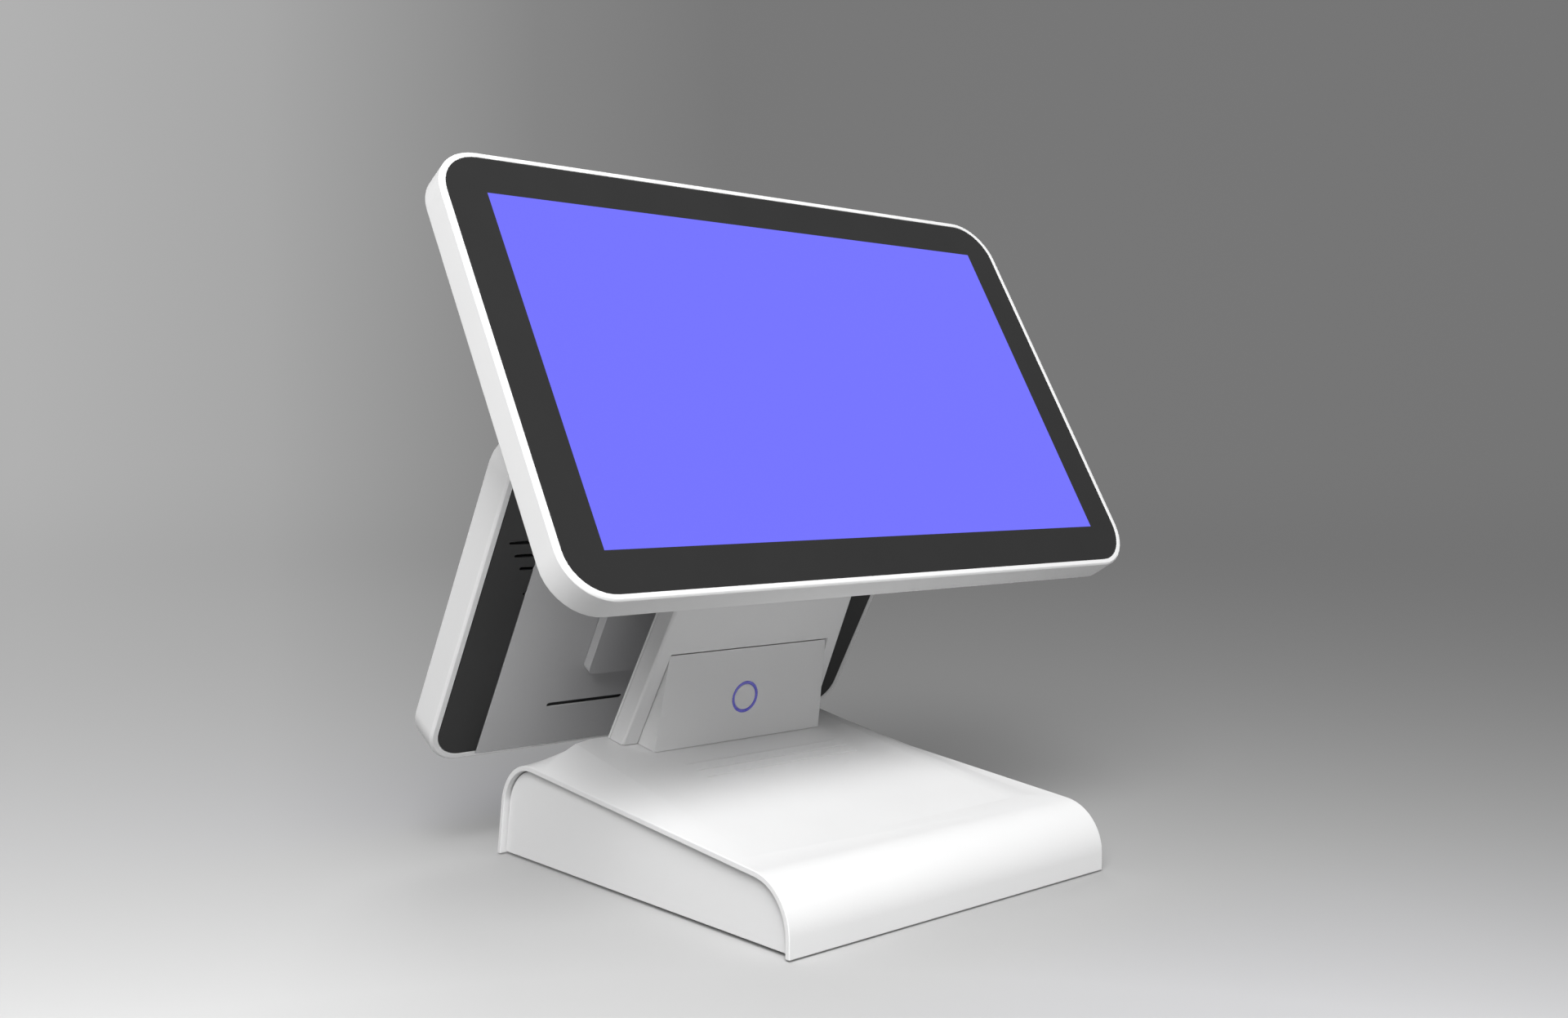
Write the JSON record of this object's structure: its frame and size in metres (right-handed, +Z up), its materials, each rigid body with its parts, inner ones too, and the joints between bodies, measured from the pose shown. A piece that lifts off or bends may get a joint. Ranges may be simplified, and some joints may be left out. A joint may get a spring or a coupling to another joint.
{
  "type": "pos touchscreen terminal",
  "caption": "Countertop checkout terminal with a wedge-shaped base, a leaning neck with a lit power button, a tilting touch display and a smaller tilting customer display behind",
  "frame": {"origin": "middle of the overall width and depth, on the table under the feet", "axes": "+X to the cashier's right, +Y away from the cashier towards the customer, +Z up; the cashier's display faces -Y"},
  "size_m": [0.3938, 0.2754, 0.3703],
  "materials": {
    "white_plastic": "fine moulded grain",
    "light_grey_plastic": "fine moulded grain",
    "black_plastic": "fine moulded grain",
    "black_socket_plastic": "smooth moulded",
    "cover_glass": "polished with a dark printed border",
    "lcd_panel": "smooth",
    "blue_light_guide": "clear moulded, lit from inside",
    "zinc_plated_steel": "zinc plated",
    "bright_steel": "bright plated",
    "aluminium": "plain extruded",
    "green_board": "solder mask",
    "black_rubber": "moulded"
  },
  "bodies": {
    "base": {"base_shell": "white_plastic", "side_panel_left": "white_plastic", "side_panel_right": "white_plastic", "neck_front_cover": "white_plastic", "neck_back_cover": "white_plastic", "button_housing": "white_plastic", "power_inlet": "black_socket_plastic", "drawer_socket": "black_socket_plastic", "button_ring": "blue_light_guide", "bottom_plate": "zinc_plated_steel", "ballast_plate": "zinc_plated_steel", "port_panel": "zinc_plated_steel", "neck_frame": "zinc_plated_steel", "main_hinge_bracket": "zinc_plated_steel", "rear_hinge_bracket": "zinc_plated_steel", "floor_screw_front_left": "bright_steel", "floor_screw_front_right": "bright_steel", "floor_screw_rear_left": "bright_steel", "floor_screw_rear_right": "bright_steel", "lan_socket": "bright_steel", "usb_socket_a": "bright_steel", "usb_socket_b": "bright_steel", "neck_bolt_left": "bright_steel", "neck_bolt_right": "bright_steel", "main_hinge_shaft": "bright_steel", "main_hinge_nut_left": "bright_steel", "main_hinge_nut_right": "bright_steel", "rear_hinge_shaft": "bright_steel", "rear_hinge_nut_left": "bright_steel", "rear_hinge_nut_right": "bright_steel", "heat_sink": "aluminium", "mainboard": "green_board", "switch_board": "green_board", "foot_front_left": "black_rubber", "foot_front_right": "black_rubber", "foot_rear_left": "black_rubber", "foot_rear_right": "black_rubber"},
    "main_display": {"main_frame": "white_plastic", "main_centre_cover": "light_grey_plastic", "main_back_panel": "black_plastic", "main_glass": "cover_glass", "main_lcd": "lcd_panel", "main_chassis": "zinc_plated_steel", "main_hinge_leaf": "zinc_plated_steel", "main_leaf_screw_a": "bright_steel", "main_leaf_screw_b": "bright_steel", "main_leaf_screw_c": "bright_steel", "main_leaf_screw_d": "bright_steel", "main_control_board": "green_board"},
    "rear_display": {"rear_frame": "white_plastic", "rear_centre_cover": "light_grey_plastic", "rear_hinge_leaf": "light_grey_plastic", "rear_back_panel": "black_plastic", "rear_glass": "cover_glass", "rear_lcd": "lcd_panel", "rear_chassis": "zinc_plated_steel", "rear_leaf_screw_left": "bright_steel", "rear_leaf_screw_right": "bright_steel", "rear_control_board": "green_board"},
    "power_button": {"power_button": "white_plastic"}
  },
  "joints": [
    {"name": "main_tilt", "type": "hinge", "parent": "base", "child": "main_display", "pos_m": [0, -0.02942, 0.22199], "axis": [-1, 0, 0], "range_deg": [-20, 20]},
    {"name": "rear_tilt", "type": "hinge", "parent": "base", "child": "rear_display", "pos_m": [0, 0.0553, 0.13326], "axis": [1, 0, 0], "range_deg": [-10, 15]},
    {"name": "power_button_press", "type": "slide", "parent": "base", "child": "power_button", "axis": [0, 0.9828, 0.1848], "range_m": [0, 0.001], "stiffness_N_per_m": 400, "springref_m": -0.001}
  ]
}
